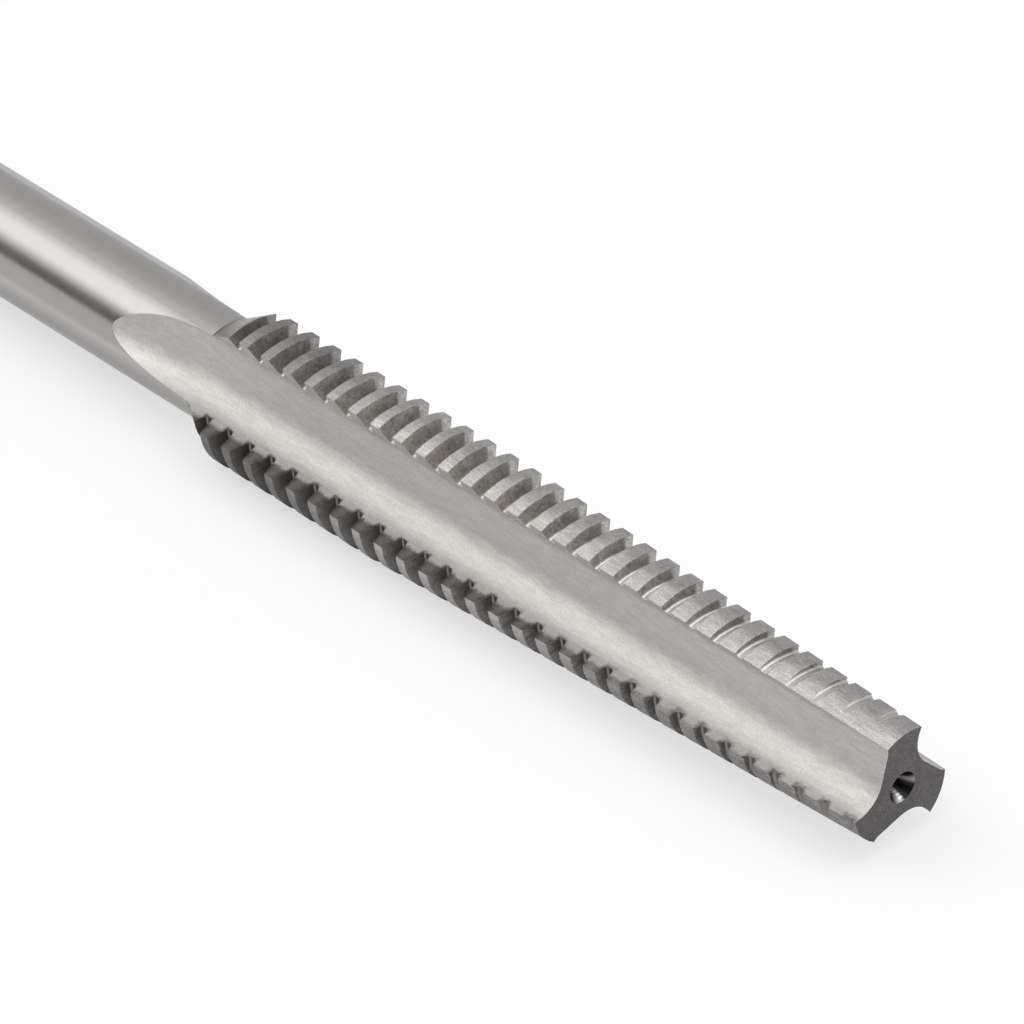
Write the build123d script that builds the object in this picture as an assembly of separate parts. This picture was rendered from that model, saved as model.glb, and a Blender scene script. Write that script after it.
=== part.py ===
from build123d import *
import os
from math import acos, ceil, cos, degrees, radians, sin, tan

# A left-hand hand tap for a half inch acme thread with ten threads to the inch.
# Millimetres and degrees. X runs along the tap's axis from the square end to the
# tip, and Z points up through the middle of one land. The origin is the middle
# of the square end's face. Angles round the axis are counted from Y towards Z.

# The whole tool
overall_length = 133.35
shank_diameter = 9.32

# Square for the wrench
square_across_flats = 6.98
square_length = 11.1
square_end_chamfer = 0.8

# Acme thread, left hand, single start
pitch = 2.54
major_diameter = 13.2
root_diameter = 9.65
root_gap = 0.69
root_corner = 0.2
flank_angle = 14.5
threaded_length = 74.5
back_chamfer_angle = 30.0
first_crest_from_tip = 0.97

# Taper that shares the cut between the teeth, and the relief behind each edge
tip_diameter = 9.9
taper_length = 45.4
relief_offset = 0.66
relief_lead = 26.0

# Lands and the flutes between them
land_count = 3
land_angle = 45.4
web_diameter = 4.9
floor_angle = 112.0
floor_corner_radius = 2.7
heel_lean = 5.0
heel_corner_radius = 1.0
flute_length = 72.4
flute_cutter_diameter = 63.5

# Centre holes
tip_centre_diameter = 2.6
tip_pilot_diameter = 1.17
drive_centre_diameter = 3.2
drive_pilot_diameter = 1.44
centre_angle = 60.0
pilot_length = 1.6
drill_point_angle = 118.0

# Allowance by which every cut reaches past the surface that it opens
overcut = 0.5

# Worked out from the sizes above
major_radius = major_diameter / 2
root_radius = root_diameter / 2
shank_radius = shank_diameter / 2
tip_radius = tip_diameter / 2
land_step = 360 / land_count
top_edge_angle = 90 - land_angle / 2
top_heel_angle = 90 + land_angle / 2
flute_middle_angle = 90 - land_step / 2
half_flute_angle = (land_step - land_angle) / 2
thread_back = overall_length - threaded_length
taper_rise = (major_radius - tip_radius) / taper_length


def polar(radius, angle):
    """A point of the cross-section, from its distance and its angle round the axis."""
    return Vector(radius * cos(radians(angle)), radius * sin(radians(angle)))


def section_plane(x):
    """The plane across the axis at x, with its own axes along Y and Z."""
    return Plane(origin=(x, 0, 0), x_dir=(0, 1, 0), z_dir=(1, 0, 0))


def turned(points):
    """A turned solid from half its outline, given as places along and off the axis."""
    outline = Plane.XZ * Polygon(*points, align=None)
    return revolve(outline, Axis.X, 360)


def shank():
    """The round bar, from the square end to well inside the thread."""
    return turned([
        (0, 0),
        (0, shank_radius - square_end_chamfer),
        (square_end_chamfer, shank_radius),
        (thread_back + pitch, shank_radius),
        (thread_back + pitch, 0),
    ])


def threaded_stock():
    """The bar that the thread is cut in, with the chamfer at its back."""
    chamfer_length = (major_radius - shank_radius) / tan(radians(back_chamfer_angle))
    return turned([
        (thread_back, 0),
        (thread_back, shank_radius),
        (thread_back + chamfer_length, major_radius),
        (overall_length, major_radius),
        (overall_length, 0),
    ])


def relieved_cone():
    """The taper ground behind the top land's edge: a cone set off the tap's axis."""
    offset = polar(relief_offset, top_edge_angle - relief_lead)
    edge = polar(tip_radius, top_edge_angle)
    tip_cone_radius = (edge - offset).length
    back_cone_radius = tip_cone_radius + taper_rise * (threaded_length + overcut)
    cone = turned([
        (thread_back - overcut, 0),
        (thread_back - overcut, back_cone_radius),
        (overall_length, tip_cone_radius),
        (overall_length, 0),
    ])
    return Pos(0, offset.X, offset.Y) * cone


def land_sector():
    """The top land's share of the round, out to the middle of the flute on each side."""
    reach = (major_radius + overcut) / cos(radians(land_step / 4))
    corners = [
        polar(0, 0),
        polar(reach, flute_middle_angle),
        polar(reach, flute_middle_angle + land_step / 2),
        polar(reach, flute_middle_angle + land_step),
    ]
    face = section_plane(thread_back - overcut) * Polygon(*corners, align=None)
    return extrude(face, threaded_length + 2 * overcut)


def around(shape):
    """The same shape at every land."""
    return [Rot(land * land_step, 0, 0) * shape for land in range(land_count)]


def tapered_stock():
    """The threaded bar with its tapered and relieved outside."""
    sector = relieved_cone() & land_sector()
    lands = around(sector)
    envelope = lands[0].fuse(*lands[1:])
    return threaded_stock() & envelope


def flute_profile():
    """The flute after the top land's edge: cutting face, rounded floor and heel wall."""
    web_radius = web_diameter / 2
    outside = major_radius + overcut
    floor_normal = top_edge_angle - (floor_angle - 90)
    corner = polar(web_radius / cos(radians(floor_angle - 90)), top_edge_angle)
    heel = polar(major_radius, top_heel_angle - land_step)
    along_floor = polar(1, floor_normal - 90)
    along_heel = polar(1, top_heel_angle - land_step + heel_lean)
    # The heel wall's line meets the floor's line where this many steps lead from the heel
    foot = polar(web_radius, floor_normal)
    gap = heel - foot
    steps = (gap.X * along_floor.Y - gap.Y * along_floor.X) / (
        along_heel.X * along_floor.Y - along_heel.Y * along_floor.X
    )
    heel_foot = heel - along_heel * steps
    heel_out = heel + along_heel * overcut
    edge_out = polar(outside, top_edge_angle)
    beyond = polar(outside / cos(radians(half_flute_angle)), flute_middle_angle)
    line = Polyline(edge_out, corner, heel_foot, heel_out, beyond, close=True)
    face = make_face(line)
    face = fillet(face.vertices().sort_by_distance(corner)[0], floor_corner_radius)
    return fillet(face.vertices().sort_by_distance(heel_foot)[0], heel_corner_radius)


def cutter_path(face):
    """What a form cutter takes out: straight along the thread, then up and out."""
    cutter_radius = flute_cutter_diameter / 2
    start = overall_length - flute_length
    centre = polar(web_diameter / 2 + cutter_radius, flute_middle_angle)
    direction = polar(1, flute_middle_angle - 90)
    arbor = Axis((start, centre.X, centre.Y), (0, direction.X, direction.Y))
    rise = major_radius - web_diameter / 2 + overcut
    swing = degrees(acos(1 - rise / cutter_radius))
    placed = section_plane(start) * face
    straight = extrude(placed, flute_length + overcut)
    return straight.fuse(revolve(placed, arbor, swing))


def flutes():
    """The cuts between the lands."""
    return around(cutter_path(flute_profile()))


def groove():
    """One turn's thread groove over the top land, its middle at x = 0 on the cutting edge."""
    spare = half_flute_angle / 2
    depth = major_radius - root_radius
    outer_gap = root_gap + 2 * (depth + overcut) * tan(radians(flank_angle))
    outline = Polygon(
        (-root_gap / 2, root_radius),
        (root_gap / 2, root_radius),
        (outer_gap / 2, major_radius + overcut),
        (-outer_gap / 2, major_radius + overcut),
        align=None,
    )
    # The cutter's blunted corners leave a short slope where each flank meets the root
    root_corners = outline.vertices().group_by(Axis.Y)[0]
    profile = Plane.XZ * chamfer(root_corners, root_corner)
    rise = pitch * (land_angle + 2 * spare) / 360
    path = Helix(pitch, rise, root_radius, direction=(1, 0, 0), lefthand=True)
    turn = sweep(profile, path, is_frenet=True)
    back = pitch * (land_angle + spare) / 360
    return Pos(-back, 0, 0) * Rot(land_angle / 2 + spare, 0, 0) * turn


def grooves():
    """Every crossing of the one helical groove with the lands."""
    one = groove()
    first = overall_length - first_crest_from_tip + pitch / 2
    cuts = []
    for land in range(land_count):
        for turn in range(ceil(threaded_length / pitch) + 1):
            x = first - pitch * (turn + land / land_count)
            if thread_back < x < overall_length:
                cuts.append(Pos(x, 0, 0) * Rot(land * land_step, 0, 0) * one)
    return cuts


def square_waste():
    """What is milled off the shank's end to leave the square."""
    side = square_across_flats
    bar = Pos(square_length / 2, 0, 0) * Box(square_length, side, side)
    sleeve = Pos(square_length / 2, 0, 0) * Rot(0, 90, 0) * Cylinder(shank_diameter, square_length)
    return sleeve - bar


def centre_hole(mouth_diameter, pilot_diameter):
    """A centre drilled from x = 0 towards +X: a cone and the pilot hole behind it."""
    mouth = mouth_diameter / 2
    pilot = pilot_diameter / 2
    cone_depth = (mouth - pilot) / tan(radians(centre_angle / 2))
    pilot_end = cone_depth + pilot_length
    point = pilot / tan(radians(drill_point_angle / 2))
    return turned([
        (0, 0),
        (0, mouth),
        (cone_depth, pilot),
        (pilot_end, pilot),
        (pilot_end + point, 0),
    ])


def tap():
    """The whole tool, one piece of steel."""
    body = shank().fuse(tapered_stock())
    body = body.cut(*flutes())
    body = body.cut(*grooves())
    body = body.cut(square_waste())
    body = body.cut(centre_hole(drive_centre_diameter, drive_pilot_diameter))
    tip_end = Pos(overall_length, 0, 0) * Rot(0, 0, 180)
    return body.cut(tip_end * centre_hole(tip_centre_diameter, tip_pilot_diameter))


os.makedirs("parts", exist_ok=True)
export_step(tap(), "parts/tap.step")
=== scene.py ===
from math import cos, hypot, pi, radians, sin, tan

import bpy
from bpy.props import FloatProperty, FloatVectorProperty, IntProperty, PointerProperty
from mathutils import Matrix, Vector


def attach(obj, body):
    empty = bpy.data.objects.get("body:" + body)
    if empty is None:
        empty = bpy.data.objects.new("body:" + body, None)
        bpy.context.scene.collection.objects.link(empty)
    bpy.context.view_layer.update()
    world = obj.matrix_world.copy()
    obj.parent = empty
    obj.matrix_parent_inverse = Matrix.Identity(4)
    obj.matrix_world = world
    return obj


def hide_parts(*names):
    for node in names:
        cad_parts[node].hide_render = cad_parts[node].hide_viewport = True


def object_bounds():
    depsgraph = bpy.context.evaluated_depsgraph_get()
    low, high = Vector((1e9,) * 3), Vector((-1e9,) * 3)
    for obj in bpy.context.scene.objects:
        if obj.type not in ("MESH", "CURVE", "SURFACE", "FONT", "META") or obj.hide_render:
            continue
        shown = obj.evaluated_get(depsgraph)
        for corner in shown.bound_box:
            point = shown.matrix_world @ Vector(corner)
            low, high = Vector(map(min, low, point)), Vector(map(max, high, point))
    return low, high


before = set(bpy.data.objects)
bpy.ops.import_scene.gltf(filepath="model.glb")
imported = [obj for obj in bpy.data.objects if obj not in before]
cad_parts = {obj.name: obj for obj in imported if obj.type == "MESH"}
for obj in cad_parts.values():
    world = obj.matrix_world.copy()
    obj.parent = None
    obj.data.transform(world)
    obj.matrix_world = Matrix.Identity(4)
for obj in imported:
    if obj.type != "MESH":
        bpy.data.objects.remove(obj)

CAD_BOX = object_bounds()

bl_info = {
    "name": "Acme thread tap",
    "version": (1, 0, 0),
    "blender": (4, 5, 0),
    "location": "3D View > Sidebar > Tap",
    "description": "Finishes a left hand acme thread tap in ground and milled tool steel",
    "category": "Object",
}


class TapSizes(bpy.types.PropertyGroup):
    """Where one finish of the tap gives way to the next."""
    square_length: FloatProperty(
        name="Square length", description="Length of the wrench square at the back end",
        default=0.0111, unit="LENGTH")
    thread_back: FloatProperty(
        name="Thread start", description="Where the threaded part begins, from the square end",
        default=0.05885, unit="LENGTH")
    tip: FloatProperty(
        name="Tip", description="Where the tip's end face is, from the square end",
        default=0.13335, unit="LENGTH")
    pitch: FloatProperty(
        name="Pitch", description="From one thread groove to the next along the axis",
        default=0.00254, unit="LENGTH")
    first_groove: FloatProperty(
        name="First groove",
        description="Place of a groove's middle on the top land's cutting edge",
        default=0.13365, unit="LENGTH")
    root_radius: FloatProperty(
        name="Root radius", description="Distance from the axis to the bottom of the thread groove",
        default=0.004825, unit="LENGTH")
    lowest_crest: FloatProperty(
        name="Lowest crest", description="Least distance from the axis of a land's ground outside",
        default=0.0044, unit="LENGTH")
    root_half_gap: FloatProperty(
        name="Half root gap", description="Half the width of the groove at the root",
        default=0.000345, unit="LENGTH")
    root_corner: FloatProperty(
        name="Root corner", description="Height of the rounded corner between a flank and the root",
        default=0.000194, unit="LENGTH")
    flank_angle: FloatProperty(
        name="Flank angle", description="Slope of each thread flank from square to the axis",
        default=radians(14.5), subtype="ANGLE")
    top_edge: FloatProperty(
        name="Cutting edge", description="Angle of the top land's cutting edge round the axis",
        default=radians(67.3), subtype="ANGLE")
    land_count: IntProperty(
        name="Lands", description="Number of lands round the axis", default=3)
    shank_radius: FloatProperty(
        name="Shank radius", description="Radius of the plain shank",
        default=0.00466, unit="LENGTH")
    centre_radius: FloatProperty(
        name="Centre hole radius", description="Largest radius of the centre holes in the two ends",
        default=0.00165, unit="LENGTH")
    edge_round: FloatProperty(
        name="Edge rounding", description="Radius that handling has left on every sharp edge",
        default=0.0001, unit="LENGTH")


def steel_colour(name, description, default):
    """A colour setting for one way of cutting the steel."""
    return FloatVectorProperty(name=name, description=description, subtype="COLOR",
                               size=4, min=0, max=1, default=(*default, 1))


class TapSteel(bpy.types.PropertyGroup):
    """Colours of the steel, one for each way that it was cut."""
    ground: steel_colour("Ground shank", "Steel of the ground shank", (0.45, 0.435, 0.42))
    milled: steel_colour("Flutes", "Steel of the milled flutes", (0.62, 0.60, 0.577))
    # A dark colour laid on as painted shade and dark stain beside the grooves, as painted shade in
    # the low land's groove bottoms and as a painted shadow line behind the thread
    shade_and_stain: steel_colour("Stain", "Oil baked on beside the thread grooves",
                        (0.06, 0.0525, 0.0495))
    crest: steel_colour("Crests", "Steel of the ground crests", (0.425, 0.41, 0.393))
    chamfer: steel_colour("Back chamfer", "Steel of the cone behind the thread",
                          (0.27, 0.255, 0.24))
    flank: steel_colour("Thread flanks", "Steel of the thread's flanks", (0.37, 0.352, 0.334))
    root: steel_colour("Thread roots", "Steel at the bottom of the groove", (0.58, 0.56, 0.54))
    # Kept dark as painted shade on the end faces
    end: steel_colour("End faces", "Steel of the two end faces", (0.117, 0.1105, 0.1135))
    # Kept dark as painted shade inside the centre holes
    hole: steel_colour("Centre holes", "Steel inside the centre holes", (0.16, 0.152, 0.148))


class TapStudio(bpy.types.PropertyGroup):
    """The floor, the light and the camera."""
    floor: FloatVectorProperty(
        name="Floor", description="Colour of the floor", subtype="COLOR",
        size=4, min=0, max=1, default=(0.9, 0.9, 0.9, 1))
    whiteness: FloatProperty(
        name="Floor whiteness", description="How much of the floor is seen as plain white",
        default=0.6, subtype="FACTOR")
    floor_size: FloatProperty(
        name="Floor size", description="Width of the square floor",
        default=6.0, unit="LENGTH")
    camera_side: FloatProperty(
        name="Camera side", description="Half angle of the dark patch round the camera",
        default=radians(24), subtype="ANGLE")
    softbox: FloatVectorProperty(
        name="Softbox", description="Direction of the overhead softbox from the tap",
        subtype="DIRECTION", size=3, default=(0.35, 0.3, 0.89))
    softbox_distance: FloatProperty(
        name="Softbox distance", description="From the tap to the softbox",
        default=0.8, unit="LENGTH")
    softbox_size: FloatVectorProperty(
        name="Softbox size", description="Length and width of the softbox", subtype="TRANSLATION",
        size=2, default=(0.72, 0.6))
    softbox_level: FloatProperty(
        name="Softbox level", description="Brightness of the softbox, where 1 is white",
        default=0.85)
    target: FloatVectorProperty(
        name="Aim", description="Point that the camera looks at", subtype="TRANSLATION",
        size=3, default=(0.10538, -0.01264, 0.01680))
    distance: FloatProperty(
        name="Distance", description="From the camera to the point that it looks at",
        default=0.54368, unit="LENGTH")
    azimuth: FloatProperty(
        name="Azimuth", description="Side that the camera looks from, 0 along +Y",
        default=radians(47.635), subtype="ANGLE")
    elevation: FloatProperty(
        name="Elevation", description="Height of the camera over the horizon",
        default=radians(35.873), subtype="ANGLE")
    roll: FloatProperty(
        name="Roll", description="Turn of the camera about its own line of sight",
        default=radians(-1.150), subtype="ANGLE")
    lens: FloatProperty(
        name="Lens", description="Focal length in millimetres on a 36 mm sensor",
        default=260.949)


def new_tree(material):
    """The material's own node tree, emptied but for its output."""
    material.use_nodes = True
    tree = material.node_tree
    tree.nodes.clear()
    return tree, tree.nodes.new("ShaderNodeOutputMaterial")


def math(tree, operation, *values, clamp=False):
    """One sum of shader values, each a number or another node's output."""
    node = tree.nodes.new("ShaderNodeMath")
    node.operation = operation
    node.use_clamp = clamp
    for socket, value in zip(node.inputs, values):
        if isinstance(value, (int, float)):
            socket.default_value = value
        else:
            tree.links.new(value, socket)
    return node.outputs["Value"]


def tap_place(tree):
    """The shaded point's place on the tap, in metres."""
    return tree.nodes.new("ShaderNodeTexCoord").outputs["Object"]


def stretched_noise(tree, scale, detail, roughness=0.55):
    """Noise on the tap's own place, its grain that many cycles to the millimetre each way."""
    to_metre = 1000
    mapping = tree.nodes.new("ShaderNodeMapping")
    mapping.inputs["Scale"].default_value = [cycles * to_metre for cycles in scale]
    noise = tree.nodes.new("ShaderNodeTexNoise")
    noise.inputs["Scale"].default_value = 1.0
    noise.inputs["Detail"].default_value = detail
    noise.inputs["Roughness"].default_value = roughness
    tree.links.new(tap_place(tree), mapping.inputs["Vector"])
    tree.links.new(mapping.outputs["Vector"], noise.inputs["Vector"])
    return noise.outputs["Fac"]


def ranged(tree, value, low, high, start=0.3, stop=0.7, smooth=False):
    """The pattern's values from start to stop, stretched to run from low to high."""
    node = tree.nodes.new("ShaderNodeMapRange")
    node.interpolation_type = "SMOOTHSTEP" if smooth else "LINEAR"
    limits = {"From Min": start, "From Max": stop, "To Min": low, "To Max": high}
    for name, number in limits.items():
        node.inputs[name].default_value = number
    tree.links.new(value, node.inputs["Value"])
    return node.outputs["Result"]


def mixed(tree, kind, factor, first, second):
    """Two colours mixed, each a plain colour or another node's output."""
    node = tree.nodes.new("ShaderNodeMix")
    node.data_type = "RGBA"
    node.blend_type = kind
    colours = [socket for socket in node.inputs if socket.type == "RGBA"]
    for socket, value in zip([node.inputs["Factor"], *colours], (factor, first, second)):
        if isinstance(value, bpy.types.NodeSocket):
            tree.links.new(value, socket)
        else:
            socket.default_value = value
    return next(socket for socket in node.outputs if socket.type == "RGBA")


def shaded(tree, colour, *shades):
    """The colour made lighter or darker by each pattern in turn."""
    for shade in shades:
        colour = mixed(tree, "MULTIPLY", 1.0, colour, shade)
    return colour


def shaded_value(tree, value, *shares):
    """The value times each share in turn."""
    for share in shares:
        value = math(tree, "MULTIPLY", value, share)
    return value


class Place:
    """Where the shaded point lies on the tap: along it, round it and off its axis.

    Lengths are in metres and angles are shares of a whole turn.
    """

    def __init__(self, tree):
        sizes = bpy.context.scene.tap_sizes
        edge = sizes.top_edge / (2 * pi)
        split = tree.nodes.new("ShaderNodeSeparateXYZ")
        tree.links.new(tap_place(tree), split.inputs["Vector"])
        self.along, y, z = (split.outputs[name] for name in "XYZ")
        self.turn = math(tree, "DIVIDE", math(tree, "ARCTAN2", z, y), 2 * pi)
        squares = [math(tree, "MULTIPLY", side, side) for side in (y, z)]
        self.radius = math(tree, "SQRT", math(tree, "ADD", *squares))
        # Turns behind the nearest cutting edge, below 0 in front of it
        lands = math(tree, "MULTIPLY", math(tree, "SUBTRACT", self.turn, edge), sizes.land_count)
        phase = math(tree, "FRACT", math(tree, "ADD", lands, 1.5))
        wrapped = math(tree, "SUBTRACT", phase, 0.5)
        self.behind = math(tree, "DIVIDE", wrapped, sizes.land_count)
        # Distance along the tap from the middle of the nearest thread groove. The whole
        # turns that are added keep the sum above 0 everywhere.
        whole_turns = 100
        first = sizes.first_groove / sizes.pitch + edge
        turns = math(tree, "ADD", math(tree, "DIVIDE", self.along, sizes.pitch), self.turn)
        phase = math(tree, "FRACT", math(tree, "ADD", turns, 0.5 - first + whole_turns))
        self.from_groove = math(tree, "MULTIPLY", math(tree, "SUBTRACT", phase, 0.5), sizes.pitch)


def faded(tree, amount, none, full):
    """A share that runs from none to full as the amount runs from 0 to 1."""
    return ranged(tree, amount, none, full, start=0.0, stop=1.0)


def changed(tree, change, *where):
    """A share of 1, with the change added where the other values say that it applies."""
    return math(tree, "ADD", shaded_value(tree, change, *where), 1.0)


def window(tree, value, middle, full, none):
    """1 where the value is within full of the middle, falling to 0 at none."""
    apart = math(tree, "ABSOLUTE", math(tree, "SUBTRACT", value, middle))
    return ranged(tree, apart, 1.0, 0.0, start=full, stop=none, smooth=True)


def side_window(tree, place, middle, full, none):
    """A window on one side of the tap, in degrees round its axis from +Y."""
    return window(tree, place.turn, middle / 360, full / 360, none / 360)


def by_angle(tree, turns, low, high, start, stop, smooth=False):
    """A share that runs from low to high between two angles, given in degrees."""
    return ranged(tree, turns, low, high, start=start / 360, stop=stop / 360, smooth=smooth)


def washed(tree, colour, amount, wash, strength=1.0):
    """The colour with another laid over it where the amount says."""
    return mixed(tree, "MIX", math(tree, "MULTIPLY", amount, strength), colour, wash)


def groove_shade_and_stain(tree, place):
    """How much painted shade and dark stain lie on a cutting face, on its teeth and round the
    mouths of its grooves.
    """
    sizes = bpy.context.scene.tap_sizes
    towards_back, rounding, uneven = 0.00012, 0.0002, 0.00016
    below = math(tree, "SUBTRACT", sizes.root_radius, place.radius)
    spots = stretched_noise(tree, (1.6, 1.6, 1.6), detail=4, roughness=0.65)
    ragged = ranged(tree, spots, -uneven, uneven)
    ragged_below = math(tree, "ADD", below, ragged)
    # Distance outside the groove's own outline, whose corners are rounded
    narrowed = math(tree, "MULTIPLY", -tan(sizes.flank_angle), below)
    wall = math(tree, "ADD", sizes.root_half_gap, narrowed)
    beside = math(tree, "ABSOLUTE", math(tree, "ADD", place.from_groove, towards_back))
    apart = math(tree, "SMOOTH_MAX", math(tree, "SUBTRACT", beside, wall), below, rounding)
    # The painted shade and stain spread wider round the mouths near the tip, and a thin darker band
    # lies below them
    spread = ranged(tree, place.along, 1.25, 0.7, start=0.09, stop=0.116)
    ragged_apart = math(tree, "ADD", shaded_value(tree, apart, spread), ragged)
    mouth = ranged(tree, ragged_apart, 1.0, 0.0, start=-0.0002, stop=0.00048, smooth=True)
    film = ranged(tree, ragged_below, 0.22, 0.0, start=0.0, stop=0.0009)
    # Each tooth is dark beside its grooves, and lighter in its middle and near the tip
    tooth = ranged(tree, ragged_below, 1.0, 0.0, start=-0.0007, stop=0.0, smooth=True)
    from_middle = math(tree, "ABSOLUTE", place.from_groove)
    black = ranged(tree, from_middle, 1.0, 0.84, start=0.0006, stop=0.0011)
    worn = ranged(tree, place.along, 1.0, 0.66, start=0.1, stop=0.113)
    near = math(tree, "MAXIMUM", math(tree, "MAXIMUM", mouth, film),
                shaded_value(tree, tooth, black, worn))
    # It lies on the cutting face alone, along the whole thread, and is patchier near the tip
    in_front = by_angle(tree, place.behind, 1.0, 0.0, start=0, stop=3.6, smooth=True)
    threaded = ranged(tree, place.along, 0.0, 1.0,
                      start=sizes.thread_back, stop=sizes.thread_back + 0.002)
    patches = ranged(tree, stretched_noise(tree, (2.6, 2.6, 2.6), detail=3), -0.4, 0.2)
    patchier = ranged(tree, place.along, 0.2, 0.8, start=0.1, stop=0.116)
    shade_and_stain = shaded_value(tree, near, in_front, threaded)
    return math(tree, "MULTIPLY", shade_and_stain, changed(tree, patches, patchier), clamp=True)


def low_land(tree, place):
    """1 on the low land's teeth and 0 on the other two."""
    return side_window(tree, place, middle=-150, full=26, none=31)


def lighter_stretch(tree, place):
    """1 half way along the thread, where the low land's painted shade is lighter, and 0 near its
    ends.
    """
    return window(tree, place.along, middle=0.091, full=0.005, none=0.02)


def low_land_shade(tree, place):
    """How much painted shade lies on the low land, less of it half way along."""
    less_shaded = faded(tree, lighter_stretch(tree, place), 1.0, 0.36)
    return math(tree, "MULTIPLY", low_land(tree, place), less_shaded)


def underside_shade_and_smudges(tree, place):
    """Painted shade on the side that faces the floor, and the smudges on the low land's teeth."""
    lower = faded(tree, side_window(tree, place, middle=-123, full=8, none=27), 1.0, 0.5)
    smears = stretched_noise(tree, (1.3, 2.6, 2.6), detail=4, roughness=0.65)
    smudge = ranged(tree, smears, -0.42, 0.3)
    dirtier = ranged(tree, place.along, 0.35, 1.3, start=0.108, stop=0.124)
    return shaded_value(tree, lower, changed(tree, smudge, low_land(tree, place), dirtier))


def chamfer_shadow_line(tree, colour, place):
    """A painted shadow line where the cone behind the thread meets the shank."""
    middle = bpy.context.scene.tap_sizes.thread_back + 0.00004
    line = window(tree, place.along, middle, full=0.00005, none=0.00012)
    return washed(tree, colour, line, bpy.context.scene.tap_steel.shade_and_stain, strength=0.8)


def shank_shading(tree, colour, place):
    """Painted shade along three sides of the shank, and the painted shadow line where the thread
    begins.
    """
    under = faded(tree, side_window(tree, place, middle=-143, full=8, none=45), 1.0, 0.54)
    beside = faded(tree, side_window(tree, place, middle=162, full=8, none=17), 1.0, 0.82)
    over = faded(tree, side_window(tree, place, middle=48, full=8, none=20), 1.0, 0.65)
    return chamfer_shadow_line(tree, shaded(tree, colour, under, beside, over), place)


def flute_wash(tree, colour, place):
    """A floor with painted light in a band across it and painted shade beyond, scratches near the
    tip, and the painted shade and stain beside the grooves.
    """
    side = math(tree, "ABSOLUTE", place.behind)
    # Painted light in a band a little way from the cutting face, and painted shade further over
    rise = by_angle(tree, side, 0.93, 1.18, start=0, stop=14)
    fall = by_angle(tree, side, 1.0, 0.76, start=20, stop=44, smooth=True)
    scratches = ranged(tree, stretched_noise(tree, (0.5, 3, 3), detail=2), -0.06, 0.07)
    near_tip = ranged(tree, place.along, 0.0, 1.0, start=0.127, stop=0.132)
    colour = shaded(tree, colour, rise, fall, changed(tree, scratches, near_tip))
    shade_and_stain = bpy.context.scene.tap_steel.shade_and_stain
    return washed(tree, colour, groove_shade_and_stain(tree, place), shade_and_stain, strength=0.97)


def crest_wash(tree, colour, place):
    """The crest's painted sheen on its heel half, its darker first teeth, and the low land's
    painted light and shade, darkest at its heel.
    """
    # Painted sheen on the heel half of each crest
    heel = by_angle(tree, place.behind, 1.0, 1.14, start=22, stop=28, smooth=True)
    back = ranged(tree, place.along, 0.64, 1.0, start=0.068, stop=0.078, smooth=True)
    shaded_low = faded(tree, low_land_shade(tree, place), 1.0, 0.5)
    # On the low land, painted light near the cutting edge and painted shade towards the heel
    painted_light = by_angle(tree, place.behind, 0.27, -0.3, start=3, stop=23)
    return shaded(tree, colour, heel, back, shaded_low, changed(tree, painted_light, low_land(tree, place)),
                  underside_shade_and_smudges(tree, place))


# Where the smoother rim of a flank, painted lighter, ends, in degrees behind its cutting edge
RIM_START, RIM_STOP = 8.7, 9.5


def flank_wash(tree, colour, place):
    """Flanks with a painted lighter rim at the cutting edge, painted light rising towards the heel,
    and the low land's painted shade.
    """
    rim = by_angle(tree, place.behind, 1.0, 0.82, start=RIM_START, stop=RIM_STOP, smooth=True)
    inside = by_angle(tree, place.behind, 1.04, 1.7, start=RIM_STOP, stop=28)
    shallow = ranged(tree, place.along, 1.0, 0.82, start=0.106, stop=0.116)
    back = ranged(tree, place.along, 0.72, 1.0, start=0.066, stop=0.078, smooth=True)
    # On the low land a film hides the grain at the back, and painted shade is darker at the heel
    land = low_land(tree, place)
    film = ranged(tree, place.along, 0.6, 0.0, start=0.08, stop=0.1)
    filmed = math(tree, "MULTIPLY", land, film)
    less_shaded = math(tree, "MULTIPLY", land, lighter_stretch(tree, place))
    low = math(tree, "ADD", faded(tree, low_land_shade(tree, place), 1.0, 0.7),
               math(tree, "MULTIPLY", less_shaded, -0.12))
    low_shade = by_angle(tree, place.behind, -0.08, -0.5, start=9, stop=27)
    colour = washed(tree, colour, filmed, bpy.context.scene.tap_steel.flank)
    return shaded(tree, colour, rim, inside, low, shallow, back, underside_shade_and_smudges(tree, place),
                  changed(tree, low_shade, land))


def flank_dulling(tree, place):
    """How many times rougher a flank is behind its rim and where the low land's painted shade lies.
    """
    rougher = 2.2
    inside = by_angle(tree, place.behind, 1.0, rougher,
                      start=RIM_START, stop=RIM_STOP, smooth=True)
    low_shade = ranged(tree, low_land_shade(tree, place), 1.0, rougher, start=0.0, stop=0.3)
    return math(tree, "MAXIMUM", inside, low_shade)


def root_shading(tree, colour, place):
    """Painted shade in the bottom of the grooves on the low land."""
    across_root = ranged(tree, place.from_groove, 0.78, 1.0, start=-0.0002, stop=0.0002, smooth=True)
    low_shade = math(tree, "MULTIPLY", low_land(tree, place), across_root)
    return washed(tree, colour, low_shade, bpy.context.scene.tap_steel.shade_and_stain, strength=0.9)


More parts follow.
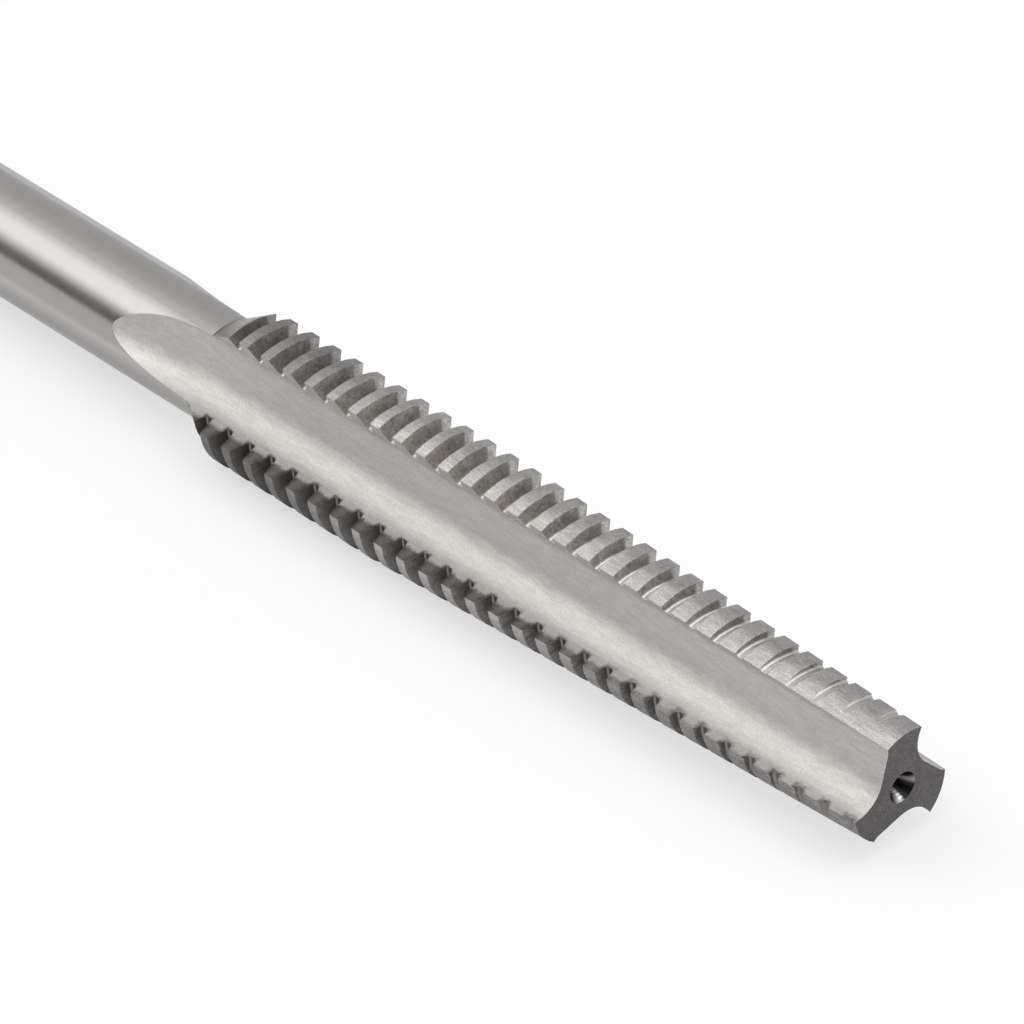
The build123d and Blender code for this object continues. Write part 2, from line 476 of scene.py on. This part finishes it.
def hole_highlight(tree, colour, place):
    """A painted highlight on one side of the hole, broken by the rings that the lathe centre left,
    and a painted glint across from it.
    """
    painted_light = side_window(tree, place, middle=-102, full=6, none=30)
    ridges = stretched_noise(tree, (5, 0.3, 0.3), detail=1)
    rings = ranged(tree, ridges, 0.35, 1.6, start=0.38, stop=0.6)
    bright = faded(tree, shaded_value(tree, painted_light, rings), 0.0, 7.0)
    glint = faded(tree, side_window(tree, place, middle=6, full=2, none=26), 0.14, 1.9)
    return shaded(tree, colour, math(tree, "ADD", bright, glint))


# Which way the tool marks draw the gloss out: round the tap's axis or along it
GLOSS_ROUND, GLOSS_ALONG = 0.0, 0.25


def metal_shader(tree, gloss, anisotropy):
    """Bare metal whose gloss is drawn out one way."""
    shader = tree.nodes.new("ShaderNodeBsdfPrincipled")
    shader.inputs["Metallic"].default_value = 1.0
    shader.inputs["Anisotropic"].default_value = anisotropy
    shader.inputs["Anisotropic Rotation"].default_value = gloss
    tangent = tree.nodes.new("ShaderNodeTangent")
    tangent.direction_type = "RADIAL"
    tangent.axis = "X"
    tree.links.new(tangent.outputs["Tangent"], shader.inputs["Tangent"])
    return shader


def marked_normal(tree, marks, relief):
    """The surface's normal with its edges worn round and its tool marks standing out."""
    mark_height = 0.000004
    worn = tree.nodes.new("ShaderNodeBevel")
    worn.samples = 4
    worn.inputs["Radius"].default_value = bpy.context.scene.tap_sizes.edge_round
    bump = tree.nodes.new("ShaderNodeBump")
    bump.inputs["Strength"].default_value = relief
    bump.inputs["Distance"].default_value = mark_height
    tree.links.new(worn.outputs["Normal"], bump.inputs["Normal"])
    tree.links.new(marks, bump.inputs["Height"])
    return bump.outputs["Normal"]


def steel(name, colour, roughness, gloss, grain, blotch, anisotropy=0.6, grain_depth=0.12,
          blotch_depth=0.08, speckle=0.05, relief=0.4, wash=None, dulling=None):
    """Bare steel with fine tool marks, a slow mottling, pits and worn edges.

    grain and blotch are cycles to the millimetre along X, Y and Z. wash lays painted light
    and shade, stains and marks over the colour, and dulling multiplies the roughness.
    """
    material = bpy.data.materials.new(name)
    tree, output = new_tree(material)
    place = Place(tree)
    shader = metal_shader(tree, gloss, anisotropy)
    marks = stretched_noise(tree, grain, detail=3)
    cloud = stretched_noise(tree, blotch, detail=4, roughness=0.6)
    pits = stretched_noise(tree, (8, 8, 8), detail=2, roughness=0.6)
    colour = shaded(
        tree, colour,
        ranged(tree, pits, 1 - speckle, 1 + speckle),
        ranged(tree, marks, 1 - grain_depth, 1 + grain_depth),
        ranged(tree, cloud, 1 - blotch_depth, 1 + blotch_depth),
    )
    if wash is not None:
        colour = wash(tree, colour, place)
    rough = ranged(tree, cloud, roughness * 0.88, roughness * 1.12)
    if dulling is not None:
        rough = math(tree, "MULTIPLY", rough, dulling(tree, place))
    tree.links.new(colour, shader.inputs["Base Color"])
    tree.links.new(rough, shader.inputs["Roughness"])
    tree.links.new(marked_normal(tree, marks, relief), shader.inputs["Normal"])
    tree.links.new(shader.outputs["BSDF"], output.inputs["Surface"])
    return material


def steels():
    """Every finish of the tap, in the order of the material slots."""
    colours = bpy.context.scene.tap_steel
    flank_look = {"grain": (3, 3, 3), "blotch": (1, 1, 1), "anisotropy": 0.2, "grain_depth": 0.22,
                  "blotch_depth": 0.2, "speckle": 0.24, "wash": flank_wash}
    return [
        steel("ground_shank", colours.ground, roughness=0.24, gloss=GLOSS_ALONG,
              grain=(2, 0.5, 0.5), blotch=(0.25, 0.6, 0.6), grain_depth=0.015,
              blotch_depth=0.02, speckle=0.015, relief=0.15, wash=shank_shading),
        steel("milled_flute", colours.milled, roughness=0.58, gloss=GLOSS_ROUND,
              grain=(0.6, 3.5, 3.5), blotch=(0.35, 1.2, 1.2), anisotropy=0.3,
              grain_depth=0.07, blotch_depth=0.07, speckle=0.1, wash=flute_wash),
        steel("ground_crest", colours.crest, roughness=0.45, gloss=GLOSS_ALONG,
              grain=(0.8, 6, 6), blotch=(0.6, 1.2, 1.2), anisotropy=0.3,
              grain_depth=0.13, blotch_depth=0.14, speckle=0.22, wash=crest_wash),
        steel("back_chamfer", colours.chamfer, roughness=0.35, gloss=GLOSS_ALONG,
              grain=(4, 1, 1), blotch=(0.8, 1.5, 1.5), anisotropy=0.3,
              grain_depth=0.15, blotch_depth=0.25, speckle=0.2, wash=chamfer_shadow_line),
        steel("tip_flank", colours.flank, roughness=0.25, gloss=GLOSS_ROUND,
              relief=0.15, dulling=flank_dulling, **flank_look),
        steel("back_flank", colours.flank, roughness=0.5, gloss=GLOSS_ROUND, **flank_look),
        steel("thread_root", colours.root, roughness=0.3, gloss=GLOSS_ALONG,
              grain=(3, 1, 1), blotch=(0.5, 1.5, 1.5), wash=root_shading),
        steel("turned_end", colours.end, roughness=0.45, gloss=GLOSS_ALONG,
              grain=(1.5, 1.5, 1.5), blotch=(0.4, 0.5, 0.5), anisotropy=0.0,
              blotch_depth=0.2, speckle=0.35),
        steel("centre_hole", colours.hole, roughness=0.32, gloss=GLOSS_ALONG,
              grain=(4, 1, 1), blotch=(1, 2, 2), relief=1.0, wash=hole_highlight),
        steel("milled_square", colours.milled, roughness=0.4, gloss=GLOSS_ROUND,
              grain=(3, 0.8, 0.8), blotch=(0.4, 1, 1)),
    ]


# The finishes' places in the list of materials
SHANK, FLUTE, CREST, CHAMFER, TIP_FLANK, BACK_FLANK, ROOT, END, HOLE, SQUARE = range(10)

# How near in metres a face has to be to a plane or a radius to be taken as lying on it
TOUCHING = 1e-5


def outward_of(place, normal):
    """Distance of a place from the axis, and how squarely the normal there points off it."""
    radius = max(hypot(place.y, place.z), 1e-9)
    return radius, (place.y * normal.y + place.z * normal.z) / radius


def is_root_corner(place, normal):
    """Whether a face is the narrow slope between a flank and the root of the thread."""
    sizes = bpy.context.scene.tap_sizes
    radius, outward = outward_of(place, normal)
    near_root = abs(radius - sizes.root_radius) < 1.2 * sizes.root_corner
    # It looks as much along the tap as off its axis
    return near_root and 0.5 < abs(normal.x) < 0.75 and 0.6 < outward < 0.86


def shank_end_finish(centre, outward, radius):
    """The finish of a face that lies between the square end and the thread."""
    sizes = bpy.context.scene.tap_sizes
    if centre.x < sizes.square_length + TOUCHING:
        return SQUARE if outward < 0.999 else SHANK
    return SHANK if radius > sizes.shank_radius - 3 * TOUCHING and outward > 0.99 else FLUTE


def thread_finish(centre, normal, outward, radius):
    """The finish of a face that lies on the thread.

    A flank looks along the tap, a root and a crest look off its axis, and the cone behind
    the thread looks off it and back. What is left is the flutes.
    """
    sizes = bpy.context.scene.tap_sizes
    spare = 1e-4
    off_root = radius - sizes.root_radius
    if is_root_corner(centre, normal):
        return ROOT
    if abs(normal.x) > 0.8 and off_root > -spare:
        return TIP_FLANK if normal.x > 0 else BACK_FLANK
    if outward > 0.9993 and abs(normal.x) < 0.022 and abs(off_root) < 1.5 * TOUCHING:
        return ROOT
    if outward > 0.8 and normal.x < -0.2:
        return CHAMFER
    # Only the first teeth need a higher limit: at the tip the crests come down below the root
    first_teeth = 0.007
    past_first = centre.x > sizes.thread_back + first_teeth
    lowest = sizes.lowest_crest if past_first else sizes.root_radius + spare
    return CREST if outward > 0.93 and radius > lowest else FLUTE


def finish_of(centre, normal):
    """Which finish a face has, from its place and the way that it looks."""
    sizes = bpy.context.scene.tap_sizes
    radius, outward = outward_of(centre, normal)
    hole_depth = 0.006
    from_end = min(centre.x, sizes.tip - centre.x)
    if from_end < hole_depth and radius < sizes.centre_radius and abs(normal.x) < 0.99:
        return HOLE
    if from_end < TOUCHING:
        return END
    if centre.x < sizes.thread_back:
        return shank_end_finish(centre, outward, radius)
    return thread_finish(centre, normal, outward, radius)


def rounded_normal(place, normal):
    """The normal that a rounded root corner has at a place on its plain slope."""
    sizes = bpy.context.scene.tap_sizes
    radius = hypot(place.y, place.z)
    off_axis = Vector((0, place.y, place.z)) / radius
    round_axis = Vector((1, 0, 0)).cross(off_axis)
    helix = (round_axis * radius - Vector((sizes.pitch / (2 * pi), 0, 0))).normalized()
    side = 1 if normal.x > 0 else -1
    flank = Vector((side * cos(sizes.flank_angle), 0, 0)) + off_axis * sin(sizes.flank_angle)
    share = min(max((radius - sizes.root_radius) / sizes.root_corner, 0), 1)
    looks = off_axis.lerp(flank, share)
    return (looks - helix * looks.dot(helix)).normalized()


def join_triangles(body):
    """Join the body's loose triangles, and keep the smooth look that they had."""
    merge_distance = 1e-7
    mesh = body.data
    looks = [0.0] * (3 * len(mesh.loops))
    mesh.corner_normals.foreach_get("vector", looks)
    mesh.attributes.new("looks", "FLOAT_VECTOR", "CORNER").data.foreach_set("vector", looks)
    bpy.context.view_layer.objects.active = body
    body.select_set(True)
    bpy.ops.object.mode_set(mode="EDIT")
    bpy.ops.mesh.select_all(action="SELECT")
    bpy.ops.mesh.remove_doubles(threshold=merge_distance)
    bpy.ops.object.mode_set(mode="OBJECT")
    kept = mesh.attributes["looks"]
    normals = [kept.data[corner].vector.copy() for corner in range(len(mesh.loops))]
    for face in mesh.polygons:
        face.use_smooth = True
        if is_root_corner(face.center, face.normal):
            for corner in face.loop_indices:
                place = mesh.vertices[mesh.loops[corner].vertex_index].co
                normals[corner] = rounded_normal(place, face.normal)
    mesh.attributes.remove(kept)
    mesh.normals_split_custom_set(normals)
    body.select_set(False)


class ACME_TAP_OT_body(bpy.types.Operator):
    """Give the tap a body whose every cut has the finish that its tool left"""
    bl_idname = "acme_tap.body"
    bl_label = "Tap body"

    def execute(self, context):
        bpy.ops.object.select_all(action="DESELECT")
        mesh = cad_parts["tap"].data.copy()
        mesh.materials.clear()
        for material in steels():
            mesh.materials.append(material)
        body = bpy.data.objects.new("tap_body", mesh)
        context.scene.collection.objects.link(body)
        join_triangles(body)
        for face in mesh.polygons:
            face.material_index = finish_of(face.center, face.normal)
        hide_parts("tap")
        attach(body, "root")
        return {"FINISHED"}


def aimed(place, target, roll=0.0):
    """The matrix of a lamp or camera at place that looks at target."""
    back = (place - target).normalized()
    right = Vector((0, 0, 1)).cross(back)
    right = right.normalized() if right.length > 1e-6 else Vector((1, 0, 0))
    up = back.cross(right)
    right, up = (right * cos(roll) + up * sin(roll), up * cos(roll) - right * sin(roll))
    turn = Matrix((right, up, back)).transposed().to_4x4()
    return Matrix.Translation(place) @ turn


def white_to_lens(tree, path):
    """1 for what the camera sees, straight or by way of metal or glass, and 0 for other light."""
    straight = math(tree, "ADD", path.outputs["Is Camera Ray"], path.outputs["Is Glossy Ray"])
    return math(tree, "ADD", straight, path.outputs["Is Transmission Ray"], clamp=True)


def floor_material(colour, whiteness):
    """A pale matt floor that is seen as white away from the tap's shadow."""
    material = bpy.data.materials.new("floor_white")
    tree, output = new_tree(material)
    matt = tree.nodes.new("ShaderNodeBsdfDiffuse")
    matt.inputs["Color"].default_value = colour
    white = tree.nodes.new("ShaderNodeEmission")
    path = tree.nodes.new("ShaderNodeLightPath")
    mix = tree.nodes.new("ShaderNodeMixShader")
    factor = math(tree, "MULTIPLY", white_to_lens(tree, path), whiteness)
    tree.links.new(factor, mix.inputs["Fac"])
    tree.links.new(matt.outputs["BSDF"], mix.inputs[1])
    tree.links.new(white.outputs["Emission"], mix.inputs[2])
    tree.links.new(mix.outputs["Shader"], output.inputs["Surface"])
    return material


def add_floor(studio):
    """The floor, level with the lowest point of the tap."""
    width = studio.floor_size
    bpy.ops.mesh.primitive_plane_add(size=1, location=(0, 0, 0))
    floor = bpy.context.object
    floor.name = "floor"
    level = Matrix.Translation((0, 0, CAD_BOX[0][2]))
    floor.data.transform(level @ Matrix.Diagonal((width, width, 1, 1)))
    floor.data.materials.append(floor_material(studio.floor, studio.whiteness))


# How bright the studio is at each height round the axis, in degrees from +Y up over to -Y
STUDIO_LIGHT = (
    (0, 0.5), (13, 0.6), (25, 0.65), (37, 0.64), (49, 0.65), (61, 0.7), (73, 0.85), (85, 1.05),
    (97, 1.45), (105, 1.75), (130, 1.8), (138, 1.1), (146, 0.68), (155, 0.28), (165, 0.22),
    (180, 0.2),
)

# How bright the patch round the camera is, and the share of its half angle that is fully dark
PATCH_LEVEL, PATCH_CORE = 0.06, 0.7


def camera_way(studio):
    """The direction from the tap to the camera."""
    return Vector((cos(studio.elevation) * sin(studio.azimuth),
                   -cos(studio.elevation) * cos(studio.azimuth),
                   sin(studio.elevation)))


def studio_world(studio):
    """Soft light from all round: a wide softbox over the near side, and a dim gap below it."""
    world = bpy.data.worlds.new("studio")
    bpy.context.scene.world = world
    world.use_nodes = True
    tree = world.node_tree
    tree.nodes.clear()
    output = tree.nodes.new("ShaderNodeOutputWorld")
    place = tree.nodes.new("ShaderNodeTexCoord")
    split = tree.nodes.new("ShaderNodeSeparateXYZ")
    tree.links.new(place.outputs["Generated"], split.inputs["Vector"])
    angle = math(tree, "ARCTAN2", split.outputs["Z"], split.outputs["Y"])
    share = math(tree, "DIVIDE", angle, pi, clamp=True)
    ramp = tree.nodes.new("ShaderNodeValToRGB")
    stops = ramp.color_ramp.elements
    stops.remove(stops[1])
    for number, (height, level) in enumerate(STUDIO_LIGHT):
        stop = stops.new(height / 180) if number else stops[0]
        stop.color = (level, level, level, 1)
    tree.links.new(share, ramp.inputs["Fac"])
    # White where the floor ends, so that the tool stands against white from every side
    horizon = ranged(tree, split.outputs["Z"], 1.0, 0.0, start=0.07, stop=0.085, smooth=True)
    light_round = mixed(tree, "MIX", horizon, ramp.outputs["Color"], (1, 1, 1, 1))
    # The dark patch round the camera
    facing = tree.nodes.new("ShaderNodeVectorMath")
    facing.operation = "DOT_PRODUCT"
    tree.links.new(place.outputs["Generated"], facing.inputs[0])
    facing.inputs[1].default_value = camera_way(studio)
    dark = ranged(tree, facing.outputs["Value"], 1.0, PATCH_LEVEL,
                  start=cos(studio.camera_side), stop=cos(studio.camera_side * PATCH_CORE),
                  smooth=True)
    light = tree.nodes.new("ShaderNodeBackground")
    tree.links.new(shaded(tree, light_round, dark), light.inputs["Color"])
    tree.links.new(light.outputs["Background"], output.inputs["Surface"])


def add_softbox(studio):
    """The overhead softbox that lights the root of the thread."""
    lamp = bpy.data.lights.new("softbox", "AREA")
    lamp.shape = "RECTANGLE"
    lamp.size, lamp.size_y = studio.softbox_size
    lamp.energy = pi * lamp.size * lamp.size_y * studio.softbox_level
    box = bpy.data.objects.new("softbox", lamp)
    bpy.context.scene.collection.objects.link(box)
    target = Vector(studio.target)
    place = target + Vector(studio.softbox).normalized() * studio.softbox_distance
    box.matrix_world = aimed(place, target)


def add_camera(studio):
    """The camera, at the distance and the angles of the photograph."""
    back = camera_way(studio)
    target = Vector(studio.target)
    camera = bpy.data.objects.new("camera", bpy.data.cameras.new("camera"))
    bpy.context.scene.collection.objects.link(camera)
    camera.data.lens = studio.lens
    camera.data.sensor_width = 36
    camera.data.clip_start = 0.01
    camera.matrix_world = aimed(target + back * studio.distance, target, studio.roll)
    bpy.context.scene.camera = camera


class ACME_TAP_OT_stage(bpy.types.Operator):
    """Set a white floor, soft light all round and the camera"""
    bl_idname = "acme_tap.stage"
    bl_label = "Studio"

    def execute(self, context):
        studio = context.scene.tap_studio
        bpy.ops.object.select_all(action="DESELECT")
        add_floor(studio)
        studio_world(studio)
        add_softbox(studio)
        add_camera(studio)
        context.scene.view_settings.view_transform = "Standard"
        return {"FINISHED"}


class ACME_TAP_PT_panel(bpy.types.Panel):
    """Tap"""
    bl_idname = "ACME_TAP_PT_panel"
    bl_label = "Acme thread tap"
    bl_space_type = "VIEW_3D"
    bl_region_type = "UI"
    bl_category = "Tap"

    def draw(self, context):
        for operator in OPERATORS:
            self.layout.operator(operator.bl_idname)


OPERATORS = (ACME_TAP_OT_body, ACME_TAP_OT_stage)
CLASSES = (TapSizes, TapSteel, TapStudio, *OPERATORS, ACME_TAP_PT_panel)


def register():
    """Add the settings, the operators and the panel to Blender."""
    for each in CLASSES:
        bpy.utils.register_class(each)
    bpy.types.Scene.tap_sizes = PointerProperty(type=TapSizes)
    bpy.types.Scene.tap_steel = PointerProperty(type=TapSteel)
    bpy.types.Scene.tap_studio = PointerProperty(type=TapStudio)


def unregister():
    """Take them away again."""
    del bpy.types.Scene.tap_studio
    del bpy.types.Scene.tap_steel
    del bpy.types.Scene.tap_sizes
    for each in reversed(CLASSES):
        bpy.utils.unregister_class(each)


def main():
    """Make the tap and its studio."""
    register()
    bpy.ops.acme_tap.body()
    bpy.ops.acme_tap.stage()


if __name__ == "__main__":
    main()
